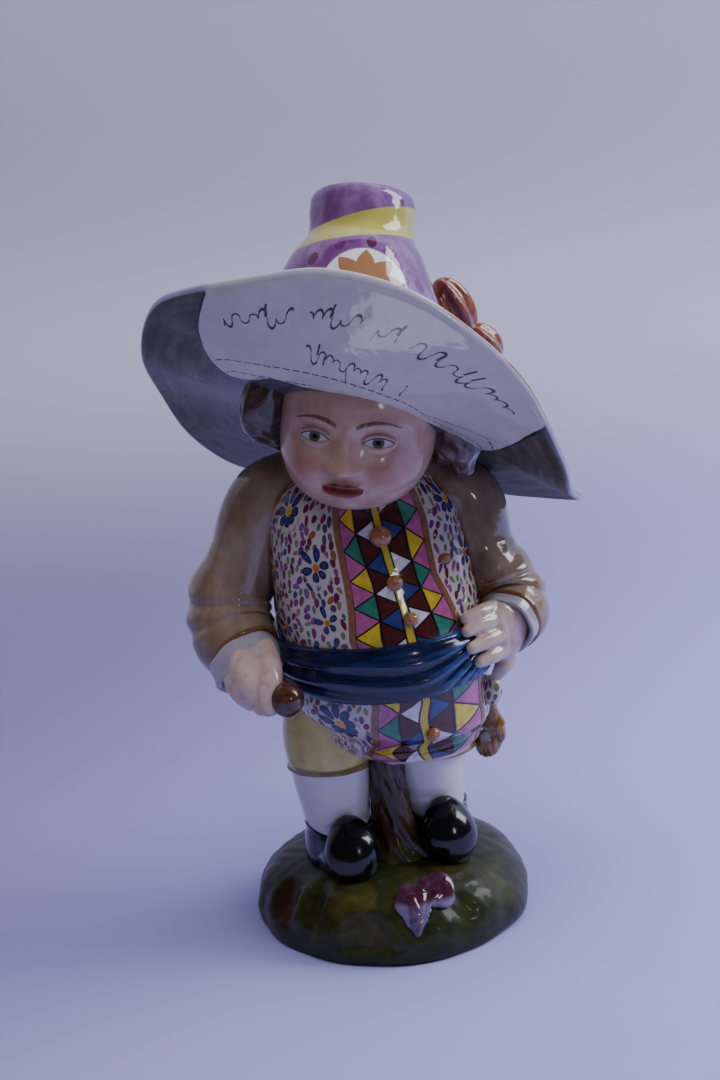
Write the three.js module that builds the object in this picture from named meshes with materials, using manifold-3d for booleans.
// A glazed porcelain figure of a dwarf in a wide cocked hat, cast and fired in one with its rocky mound.
// Millimetres, +Z up. The origin is the centre of the mound's flat underside, and the figure looks along -Y.
// Its right-hand side is at -X, as it is for someone who stands in front of it.
import * as THREE from "three";
import { mergeVertices } from "three/addons/utils/BufferGeometryUtils.js";
import Module from "manifold-3d";

const wasm = await Module();
wasm.setup();

// Driving dimensions
const moundRadius = 31.4;
const moundHeight = 17.2;
const bodyTurn = 13; // degrees that the body turns towards +X
const headTurn = -11; // degrees that the face turns towards -X
const headLean = 8; // degrees that the head leans towards +X
const headCentre = [0.4, -5.5, 121.5];
const headHalf = [17.8, 17.6, 19.5];
const waistHeight = 70;
const ankleHeight = 22;
const hemHeight = 41.5;
const hatBandRadius = 21;
const brimThickness = 2.4;
const porcelainWhite = 0xe9e6ea;

// The hat has a frame of its own, with its axis leaning back and towards +X.
const hatOrigin = new THREE.Vector3(2.5, 0, 133);
const hatAxis = new THREE.Vector3(0.29, 0.47, 0.834).normalize();
const hatFront = new THREE.Vector3(0, -1, 0).projectOnPlane(hatAxis).normalize();
const hatSide = new THREE.Vector3().crossVectors(hatAxis, hatFront);
const bandDrop = -10.8;

// The brim's edge, every 20 degrees from the back round by -X: its distance out and its height on the axis.
const brimReach = [
  51.7, 52.4, 50.7, 49.6, 49.6, 49.7, 47.5, 45.8, 45.6, 45.7, 46.1, 47.7, 50.2, 51.2, 56.7, 55.1, 54.6, 53,
];
const brimLift = [
  -13.9, -18.2, -16, -10.8, -7.1, -1, 1.1, 3.3, 6, 5.4, 0.9, -5, -15.3, -17.6, -14.6, -12.4, -10.9, -11.8,
];

const vec = (x, y, z) => new THREE.Vector3(x, y, z);
const rad = THREE.MathUtils.degToRad;
const mix = THREE.MathUtils.lerp;
const bump = (value, middle, width) => Math.exp(-(((value - middle) / width) ** 2));

// The shortest way round from one angle to another, in radians.
const angleBetween = (a, b) => Math.atan2(Math.sin(a - b), Math.cos(a - b));

// Joins rings that have the same number of points into one closed skin, with a fan over each end.
function skin(rings) {
  const sides = rings[0].length;
  const points = rings.flat();
  const faces = [];
  for (let ring = 0; ring + 1 < rings.length; ring++) {
    for (let side = 0; side < sides; side++) {
      const next = (side + 1) % sides;
      const low = ring * sides;
      const high = low + sides;
      faces.push(low + side, low + next, high + next);
      faces.push(low + side, high + next, high + side);
    }
  }
  const ends = [[0, true], [rings.length - 1, false]];
  for (const [ring, first] of ends) {
    const middle = points.length;
    const around = rings[ring];
    points.push(around.reduce((sum, p) => sum.add(p), vec(0, 0, 0)).divideScalar(sides));
    for (let side = 0; side < sides; side++) {
      const here = ring * sides + side;
      const next = ring * sides + ((side + 1) % sides);
      faces.push(middle, ...(first ? [next, here] : [here, next]));
    }
  }
  const geometry = new THREE.BufferGeometry().setFromPoints(points);
  geometry.setIndex(faces);
  return geometry;
}

// A level ring: an ellipse turned about the vertical, with its radius multiplied by shape(angle).
function levelRing(centre, halfWidth, halfDepth, turn, sides, shape = () => 1) {
  const ring = [];
  for (let side = 0; side < sides; side++) {
    const angle = (side / sides) * 2 * Math.PI;
    const grow = shape(angle);
    const point = vec(Math.sin(angle) * halfWidth * grow, -Math.cos(angle) * halfDepth * grow, 0);
    ring.push(point.applyAxisAngle(vec(0, 0, 1), rad(turn)).add(centre));
  }
  return ring;
}

// Runs a smooth line through stations of [x, y, z, half width, half depth] and returns the stations on it.
function smoothStations(stations, steps) {
  const line = new THREE.CatmullRomCurve3(stations.map(([x, y, z]) => vec(x, y, z)));
  const sizes = new THREE.CatmullRomCurve3(stations.map(([, , , wide, deep]) => vec(wide, deep, 0)));
  const found = [];
  for (let step = 0; step <= steps; step++) {
    const size = sizes.getPoint(step / steps);
    found.push({ at: line.getPoint(step / steps), wide: size.x, deep: size.y });
  }
  return found;
}

// A limb is a round tube through the stations. across is the way that its half width is measured.
function limb(stations, { steps = 8, sides = 14, across = vec(1, 0, 0), fold = () => 1 } = {}) {
  const line = smoothStations(stations, steps);
  const rings = line.map((station, k) => {
    const before = line[Math.max(k - 1, 0)].at;
    const after = line[Math.min(k + 1, steps)].at;
    const along = after.clone().sub(before).normalize();
    const wide = across.clone().projectOnPlane(along).normalize();
    const deep = vec(0, 0, 0).crossVectors(along, wide);
    return Array.from({ length: sides }, (_, side) => {
      const angle = (side / sides) * 2 * Math.PI;
      const grow = fold(angle, k / steps);
      return station.at
        .clone()
        .addScaledVector(wide, Math.cos(angle) * station.wide * grow)
        .addScaledVector(deep, Math.sin(angle) * station.deep * grow);
    });
  });
  return skin(rings);
}

// An egg is a ball stretched to three half sizes, turned by degrees about X, Y and Z, and set in place.
function egg([x, y, z], [halfX, halfY, halfZ], [turnX, turnY, turnZ] = [0, 0, 0], sides = 12, rows = 7) {
  const geometry = new THREE.SphereGeometry(1, sides, rows);
  geometry.rotateX(Math.PI / 2);
  geometry.scale(halfX, halfY, halfZ);
  geometry.rotateX(rad(turnX));
  geometry.rotateY(rad(turnY));
  geometry.rotateZ(rad(turnZ));
  geometry.translate(x, y, z);
  return geometry;
}

function solidOf(geometry) {
  geometry.deleteAttribute("normal");
  geometry.deleteAttribute("uv");
  const merged = mergeVertices(geometry, 1e-4);
  const triVerts = new Uint32Array(merged.index.array);
  const make = () =>
    new wasm.Manifold(
      new wasm.Mesh({ numProp: 3, vertProperties: merged.attributes.position.array, triVerts }),
    );
  const solid = make();
  if (solid.volume() > 0) return solid;
  triVerts.reverse();
  return make();
}

const fuse = (geometries) =>
  geometries.map(solidOf).reduce((whole, solid) => whole.add(solid));

// The mound

// Each rock face is a hollow or a swell in the mound's wall: azimuth, depth in mm, width in radians.
const rockFaces = [
  [-76, -2.8, 0.13],
  [-56, -2.2, 0.1],
  [-64, 1.2, 0.08],
  [-30, 0.8, 0.2],
  [-6, -1.4, 0.2],
  [20, 1.2, 0.16],
  [42, -0.6, 0.12],
  [62, 1.4, 0.18],
  [84, -1.2, 0.12],
  [110, 1, 0.25],
  [148, -2, 0.2],
  [185, 1, 0.3],
  [-125, -2, 0.2],
];

function moundShape(angle, height) {
  let out = 1;
  for (const [azimuth, depth, width] of rockFaces) {
    const near = bump(angleBetween(angle, rad(azimuth)), 0, width);
    out += (near * depth * bump(height, 8.5, 6)) / moundRadius;
  }
  return out + 0.012 * Math.sin(3 * angle + 0.6) + 0.01 * Math.sin(7 * angle);
}

function mound() {
  const profile = [
    [0, 1],
    [0.14, 1.005],
    [0.42, 0.985],
    [0.66, 0.93],
    [0.84, 0.83],
    [0.95, 0.66],
    [1, 0.36],
  ];
  const rings = profile.map(([rise, share]) => {
    const height = rise * moundHeight;
    const reach = share * moundRadius;
    return levelRing(vec(0, 0, height), reach, reach, 0, 36, (angle) => moundShape(angle, height));
  });
  return skin(rings);
}

// The leaf that lies on the mound's front: three lobes that fan up from a stalk.
const leafLobes = [
  [-62, 5.4],
  [0, 6.2],
  [62, 5.4],
];

const leafSpray = () =>
  leafLobes.map(([turn, reach]) => {
    const side = Math.sin(rad(turn)) * reach * 0.7;
    const up = Math.cos(rad(turn)) * reach * 0.55;
    return egg([6.6 + side, -26.8 + up * 0.75, 12.6 + up], [2.8, 1.7, reach], [-48, turn, 0], 8, 5);
  });

function treeStump() {
  return limb(
    [
      [3.4, -8.5, 12, 8, 6],
      [2.8, -7.5, 17.5, 5.8, 5],
      [1.8, -6.2, 25, 4.8, 4.5],
      [0.6, -5, 40, 4.4, 4.2],
      [0.4, -4, 50, 4.4, 4.2],
    ],
    { steps: 5, sides: 10, fold: (angle, t) => 1 + 0.07 * Math.sin(3 * angle + 5 * t) },
  );
}

// Legs, shoes and breeches, one pair on each side of the stump
const ankles = [
  [-11.4, -3, ankleHeight + 0.5],
  [11.5, 2, ankleHeight + 1.3],
];

function leg([x, y, z]) {
  return limb(
    [
      [x, y, z - 8, 7.1, 7.1],
      [x, y, z + 1, 7.4, 7.5],
      [x - 0.4, y, z + 9, 8.6, 8.6],
      [x - 0.8, y + 0.5, hemHeight + 3, 9.6, 9.2],
    ],
    { steps: 3, sides: 12 },
  );
}

function shoe([x, y, z]) {
  const toe = vec(1.5, -12.5, -5).applyAxisAngle(vec(0, 0, 1), rad(bodyTurn - 6));
  const at = (share, lift) => [x + toe.x * share, y + toe.y * share, z + toe.z * share + lift];
  return [
    limb([[x, y, z - 7, 8.6, 8.6], [x, y, z - 2, 8.8, 8.9], [x, y, z + 1.8, 8.1, 8.1]], {
      steps: 2,
      sides: 12,
    }),
    egg(at(0.5, -1.8), [6.9, 10.4, 4.9], [-14, 0, bodyTurn]),
    egg(at(0.93, 3.5), [6.7, 6.2, 9], [-24, 0, bodyTurn]),
  ];
}

function breechLeg([x, y]) {
  const out = Math.sign(x);
  return limb(
    [
      [x + out * 0.8, y, hemHeight - 0.6, 9.2, 9.4],
      [x + out * 0.8, y, hemHeight + 0.6, 10.2, 10.4],
      [x + out * 0.8, y, hemHeight + 6, 10.8, 11],
      [x * 0.9, y, hemHeight + 18, 12, 12.5],
    ],
    { steps: 4, sides: 14 },
  );
}

// The seat closes the gap between the breeches, under the waistcoat.
const seat = () =>
  limb([[1, 1, 43.6, 13, 11], [1, 1.5, 48, 17, 15], [1.5, 2, 60, 20.5, 18.5]], { steps: 2, sides: 12 });

// The waistcoat: level rings of [height, centre x, centre y, half width, half depth]
const waistcoatRings = [
  [44, 9.2, -8.5, 11.6, 8.7],
  [47.2, 6.7, -5.9, 17.7, 11.9],
  [52, 6.3, -6.5, 19.8, 17.2],
  [58, 3.3, -4.5, 23.1, 21.5],
  [66, 2.8, -3.2, 24.2, 24],
  [76, 2.2, -2.2, 24.4, 24.2],
  [86, 1.6, -1.4, 23.8, 22.2],
  [96, 0.8, -0.8, 23, 19.4],
  [104, 0.2, -0.2, 21.4, 16.4],
  [109.5, -0.2, 0.4, 17, 12.8],
  [113, -0.4, 0.4, 10, 9],
];

function waistcoat() {
  const rings = waistcoatRings.map(([z, x, y, halfWidth, halfDepth]) =>
    levelRing(vec(x, y, z), halfWidth, halfDepth, bodyTurn, 26),
  );
  return skin(rings);
}

// A body point on the waistcoat: angle in degrees from the camera side, positive towards +X, and height.
function onWaistcoat(angle, height, proud = 0) {
  let k = 0;
  while (waistcoatRings[k + 2] && waistcoatRings[k + 1][0] < height) k++;
  const [low, high] = [waistcoatRings[k], waistcoatRings[k + 1]];
  const share = (height - low[0]) / (high[0] - low[0]);
  const [, x, y, halfWidth, halfDepth] = low.map((value, i) => mix(value, high[i], share));
  const turned = rad(angle - bodyTurn);
  const point = vec(Math.sin(turned) * (halfWidth + proud), -Math.cos(turned) * (halfDepth + proud), 0);
  return point.applyAxisAngle(vec(0, 0, 1), rad(bodyTurn)).add(vec(x, y, height));
}

// Buttons: angle, height and radius
const buttons = [
  [9.8, 99.9, 2.4],
  [12, 89.9, 1.8],
  [16.8, 81.8, 1.65],
  [19, 53.9, 1.6],
  [46, 92.4, 1.2],
];

const buttonBalls = () =>
  buttons.map(([angle, height, radius]) => {
    const at = onWaistcoat(angle, height, radius * 0.25);
    return egg(at.toArray(), [radius, radius, radius], [0, 0, 0], 6, 4);
  });

// The sash: a band round the waist whose section is a row of soft folds. It is widest in front.
const sashFolds = 4;

function sash() {
  const around = 28;
  const across = 7;
  const rings = [];
  for (let k = 0; k < around; k++) {
    const angle = (k / around) * 360;
    const front = Math.cos(rad(angle - 10));
    const half = 5.2 + 1.3 * Math.max(front, 0);
    const middle = waistHeight + 0.6 * Math.sin(rad(angle)) + 1.2 * Math.max(-front, 0);
    const section = [];
    for (let j = 0; j <= across; j++) {
      const share = j / across;
      const height = middle + (share * 2 - 1) * half;
      const pleat = 0.35 * Math.cos(share * 2 * Math.PI * sashFolds + rad(angle) * 1.5);
      const proud = 2 * Math.sin(Math.PI * share) ** 0.5 + pleat * Math.sin(Math.PI * share) - 0.2;
      section.push(onWaistcoat(angle, height, proud));
    }
    for (const height of [middle + half * 0.5, middle - half * 0.5]) {
      section.push(onWaistcoat(angle, height, -6));
    }
    rings.push(section);
  }
  return wheel(rings);
}

// Joins sections that go all the way round into one closed ring.
function wheel(sections) {
  const points = sections.flat();
  const size = sections[0].length;
  const faces = [];
  sections.forEach((_, k) => {
    const here = k * size;
    const next = ((k + 1) % sections.length) * size;
    for (let j = 0; j < size; j++) {
      const other = (j + 1) % size;
      faces.push(here + j, here + other, next + other);
      faces.push(here + j, next + other, next + j);
    }
  });
  const geometry = new THREE.BufferGeometry().setFromPoints(points);
  geometry.setIndex(faces);
  return geometry;
}

// Sleeves, from shoulder through elbow to cuff, with soft creases across them
const creases = (angle, t) => 1 + 0.035 * Math.sin(t * 30 + 1.6 * Math.sin(angle)) * (0.4 + t);

const sleeves = () => [
  limb(
    [
      [-13, 2, 107.5, 8.8, 8],
      [-21.8, 2, 103.7, 8.9, 9.4],
      [-27.1, 1.4, 91.9, 9, 10],
      [-32, -0.5, 82.5, 9.8, 10.4],
      [-32, -5.6, 75.3, 9.7, 9.6],
      [-29.4, -10.6, 71.6, 8.6, 8.8],
    ],
    { steps: 8, sides: 14, fold: creases },
  ),
  limb(
    [
      [13, 3, 105, 8.6, 8],
      [23.3, 3, 100.7, 8.6, 9.2],
      [26, 2, 88.7, 8.6, 10],
      [30.7, -1, 79.5, 9.4, 10.2],
      [32.2, -5.5, 75.2, 8.9, 8.8],
      [30.8, -10, 74.4, 8, 8],
    ],
    { steps: 8, sides: 14, fold: creases },
  ),
];

// Shirt cuffs that show between sleeve and hand
const shirtCuffs = () => [
  limb([[-30.4, -8.6, 73.4, 8, 7.8], [-28.2, -14.4, 67.6, 8.3, 8.5]], { steps: 1, sides: 12 }),
  limb([[31.6, -7.6, 74.8, 7.2, 7.2], [30, -11.6, 73.9, 7.3, 7.3]], { steps: 1, sides: 12 }),
];

// The hand at -X is a fist round a knobbed stick. Grooves between its fingers deepen towards the knuckles.
const fingerGrooves = (angle, t) => 1 + 0.08 * Math.cos(angle * 6) * Math.sin(Math.PI * t);

const fist = () => [
  limb(
    [
      [-29.4, -11, 71.8, 6.4, 6.4],
      [-28.3, -16, 70.2, 6.4, 6.3],
      [-27.2, -20.2, 67.8, 6.2, 6],
      [-26.2, -23.2, 65.8, 5, 4.8],
      [-25.6, -25.2, 64.6, 2.6, 2.6],
    ],
    { steps: 5, sides: 16, fold: fingerGrooves },
  ),
  limb([[-24.6, -15.5, 75, 2.6, 2.6], [-23.6, -21.5, 71.8, 2.8, 2.8], [-24.4, -26.4, 64.8, 2.5, 2.4]], {
    steps: 3,
    sides: 8,
  }),
];

const stickKnob = () => [
  egg([-20.2, -26.6, 66.1], [3.9, 3.9, 4.1], [0, 0, 0], 10, 7),
  limb([[-21, -24, 66, 2.2, 2.2], [-27.4, -12, 68.4, 2.2, 2.2]], { steps: 1, sides: 8 }),
];

// The hand at +X lies flat on the sash, with its fingers side by side.
function restingHand() {
  const back = limb(
    [
      [31.2, -8.6, 74.2, 6, 5.4],
      [30.8, -11.4, 73.6, 6.8, 4.6],
      [29.8, -13.4, 73.2, 7.2, 3.6],
      [28.8, -14.8, 73, 6.6, 2.8],
    ],
    { steps: 4, sides: 10, across: vec(0, 0, 1) },
  );
  // knuckle, middle joint and tip
  const digits = [
    [[28.9, -11.5, 78.6], [25, -16.2, 79.3], [21.2, -19.1, 79.1]],
    [[29.1, -13.9, 77], [25.2, -17.7, 77.1], [21.2, -20.8, 76.7]],
    [[29.7, -14.9, 73.8], [25.7, -19, 73.5], [22, -22.2, 73.1]],
    [[30.2, -13.5, 69.7], [26.7, -18.1, 69.5], [23.6, -20.7, 69.2]],
    [[31, -10.7, 65.9], [29.2, -13, 64.7], [27.8, -12.6, 62.5]],
  ];
  const fingers = digits.map(([knuckle, middle, tip]) =>
    limb([[...knuckle, 2.1, 2.1], [...middle, 1.9, 1.9], [...tip, 1.5, 1.5]], {
      steps: 3,
      sides: 6,
      across: vec(0, 0, 1),
    }),
  );
  return [back, ...fingers];
}

// The purse that hangs from the sash at +X: a neck and two full lobes
const purse = () => [
  limb([[25, -1, 56, 2.4, 2.4], [26.6, 1.4, 49, 2.2, 2.2], [27, 2.6, 44, 3.2, 3]], { steps: 3, sides: 8 }),
  egg([27.6, 2.6, 42.6], [2.3, 2.6, 3.8], [0, -12, 0], 9, 6),
  egg([25.6, 2.6, 39.6], [3.2, 3, 3.9], [0, 14, 0], 9, 6),
];

// The flowered cloth puffs out below the sash at +X
const clothPuff = () => egg([26.2, -10.3, 58], [2.2, 2.8, 3.6], [0, 8, 62], 8, 5);

// The head in its own frame: its origin is the middle of the skull, and the face looks along -Y.
// The face is laid out in equal thirds, from chin to nose base, to brow, to hairline.
const chinLow = -16;
const faceThird = 10.5;
const noseBase = chinLow + faceThird;
const browLine = noseBase + faceThird;
const eyeLine = browLine - faceThird * 0.3;
const mouthLine = noseBase - faceThird * 0.34;

// How far the features stand out from the plain egg of the head, at an angle from the front and a height.
function features(angle, height) {
  const off = Math.abs(angle);
  const nose = bump(off, 0, 0.13) * 3.4 * THREE.MathUtils.smoothstep(browLine - height, 0, faceThird);
  const bridge = height > noseBase - 1 ? nose : 0;
  const socket = -1.3 * bump(off, 0.38, 0.2) * bump(height, eyeLine, 2.4);
  const cheek = 1.1 * bump(off, 0.62, 0.3) * bump(height, noseBase - 1, 5.5);
  const upperLip = bump(height, mouthLine + 0.9, 0.9);
  const lowerLip = bump(height, mouthLine - 1.2, 1);
  const lips = bump(off, 0, 0.24) * (upperLip + lowerLip);
  const chin = 1.2 * bump(off, 0, 0.3) * bump(height, chinLow + 2.6, 2.4);
  return bridge + socket + cheek + lips + chin;
}

function head() {
  const [halfWidth, halfDepth, top] = headHalf;
  const widest = 3;
  const jawForward = 5;
  const heights = [-15.8, -14.6, -12.6, -10.8, -9.6, -8.2, -6.9, -5.4, -4.2, -1, 2.4, 5, 9, 14, 18.6];
  const sides = 24;
  const rings = heights.map((height) => {
    const span = height < widest ? widest - chinLow : top - widest;
    const low = Math.max((widest - height) / span, 0);
    const full = (1 - Math.abs((height - widest) / span) ** 2.6) ** (1 / 2.6);
    return Array.from({ length: sides }, (_, side) => {
      const even = (side / sides) * 2 * Math.PI - Math.PI;
      const angle = even - 0.5 * Math.sin(even);
      const out = features(angle, height);
      const forward = Math.cos(angle) * (halfDepth * full + out) + jawForward * low ** 2;
      return vec(Math.sin(angle) * (halfWidth * full + out), -forward, height);
    });
  });
  return skin(rings);
}

// Hair: locks that leave the hat at the sides and back. Every second one stands further out and ends lower.
function hair() {
  const locks = [];
  const first = 95;
  const last = 282;
  const count = 9;
  for (let k = 0; k < count; k++) {
    const angle = rad(mix(first, last, k / (count - 1)));
    const swing = k % 2;
    const back = Math.max(-Math.cos(angle), 0);
    const side = 1 - back;
    const right = Math.max(Math.sin(angle), 0) * side;
    const left = Math.max(-Math.sin(angle), 0) * side;
    const out = (reach) => [Math.sin(angle) * reach, -Math.cos(angle) * reach * 0.96];
    const low = -2 - 4 * back - swing + 2 * left;
    const end = -5.2 - 6 * back - swing + 2.2 * left - 1.2 * right;
    locks.push(
      limb(
        [
          [...out(17.4 + 2.2 * side), 11, 4.8, 4 + 0.8 * side],
          [...out(18.8 + 0.8 * swing + 2.9 * side), 4, 5, 4.2 + side],
          [...out(18.2 + 1.2 * swing + 3 * left + 5.6 * right), low, 4.3, 3.8 + side],
          [...out(16.4 + 2.2 * left + 8.6 * right), end, 2.5, 2.4],
        ],
        { steps: 4, sides: 6, across: vec(Math.cos(angle), Math.sin(angle), 0) },
      ),
    );
  }
  return locks;
}

// Turns geometries from the head's own frame into the figure's.
function onNeck(geometries) {
  const turn = new THREE.Quaternion()
    .setFromAxisAngle(vec(0, 0, 1), rad(headTurn))
    .multiply(new THREE.Quaternion().setFromAxisAngle(vec(0, 1, 0), rad(headLean)));
  const place = new THREE.Matrix4().compose(vec(...headCentre), turn, vec(1, 1, 1));
  return geometries.map((geometry) => geometry.applyMatrix4(place));
}

// The hat

// A smooth value at an angle, from values at even steps that start at the back and go by way of -X.
function around(values, angle) {
  const place = (((angle + Math.PI) / (2 * Math.PI)) * values.length + values.length) % values.length;
  const k = Math.floor(place);
  const t = place - k;
  const [a, b, c, d] = [-1, 0, 1, 2].map((i) => values[(k + i + values.length) % values.length]);
  return b + 0.5 * t * (c - a + t * (2 * a - 5 * b + 4 * c - d + t * (3 * (b - c) + d - a)));
}

const inHat = (side, front, up) =>
  hatOrigin
    .clone()
    .addScaledVector(hatSide, side)
    .addScaledVector(hatFront, front)
    .addScaledVector(hatAxis, up);

// The brim between the band (share 0) and its edge (share 1), with top = 1 on its upper face and 0 below.
function brimPoint(angle, share, top) {
  const reach = mix(hatBandRadius, around(brimReach, angle), share);
  const curl = share ** 1.3;
  const flare = brimThickness + 20 * (1 - share) ** 3;
  const up = mix(bandDrop, around(brimLift, angle), curl) + top * flare;
  return inHat(Math.sin(angle) * reach, Math.cos(angle) * reach, up);
}

// The crown's rings: height along the axis, how far the middle is off it towards -X, and radius
const crownRings = [
  [40.1, -8.9, 10.4],
  [36.8, -8.3, 11.9],
  [29.8, -7.1, 12.1],
  [25.6, -6.9, 14.6],
  [12.4, -4.3, 19.9],
];
const crownSlope = 0.17;

function hat() {
  const sides = 36;
  const angles = Array.from({ length: sides }, (_, k) => (k / sides) * 2 * Math.PI - Math.PI);
  const crown = crownRings.map(([up, off, radius]) =>
    angles.map((angle) => {
      const side = Math.sin(angle) * radius;
      return inHat(side + off, Math.cos(angle) * radius, up + side * crownSlope);
    }),
  );
  const brimRing = (share, top) => angles.map((angle) => brimPoint(angle, share, top));
  const edge = angles.map((angle) => brimPoint(angle, 1.02, 0.5));
  const upper = [0.14, 0.35, 0.65, 0.98].map((share) => brimRing(share, 1));
  const lower = [0.98, 0.65, 0.35, 0].map((share) => brimRing(share, 0));
  return skin([...crown, ...upper, edge, ...lower]);
}

// The plume at the crown's foot on the +X side: curled leaves, one behind the other
const plume = () => [
  egg([24.6, 15.5, 142.6], [4.2, 3.2, 8], [0, -26, 14], 9, 7),
  egg([31.2, 16.5, 133.6], [3.4, 3, 5.6], [0, -40, 18], 9, 7),
  egg([21.6, 15.5, 136.4], [5.6, 4.5, 8.5], [-30, -20, 30], 9, 7),
];

function figureGeometry() {
  const stumpAndMound = [mound(), ...leafSpray(), treeStump()];
  const lower = [...ankles.flatMap((ankle) => [leg(ankle), ...shoe(ankle), breechLeg(ankle)]), seat()];
  const dress = [waistcoat(), sash(), ...buttonBalls(), clothPuff(), ...purse()];
  const arms = [...sleeves(), ...shirtCuffs(), ...fist(), ...stickKnob(), ...restingHand()];
  const top = [...onNeck([head(), ...hair()]), hat(), ...plume()];
  const whole = fuse([...stumpAndMound, ...lower, ...dress, ...arms, ...top]);
  const mesh = whole.getMesh();
  const geometry = new THREE.BufferGeometry();
  geometry.setAttribute("position", new THREE.BufferAttribute(mesh.vertProperties, 3));
  geometry.setIndex(new THREE.BufferAttribute(mesh.triVerts, 1));
  geometry.computeVertexNormals();
  return geometry;
}

const glaze = new THREE.MeshStandardMaterial({ color: porcelainWhite, roughness: 0.12, metalness: 0 });
const figure = new THREE.Mesh(figureGeometry(), glaze);
figure.name = "porcelain_figure";

const group = new THREE.Group();
group.add(figure);
export default group;
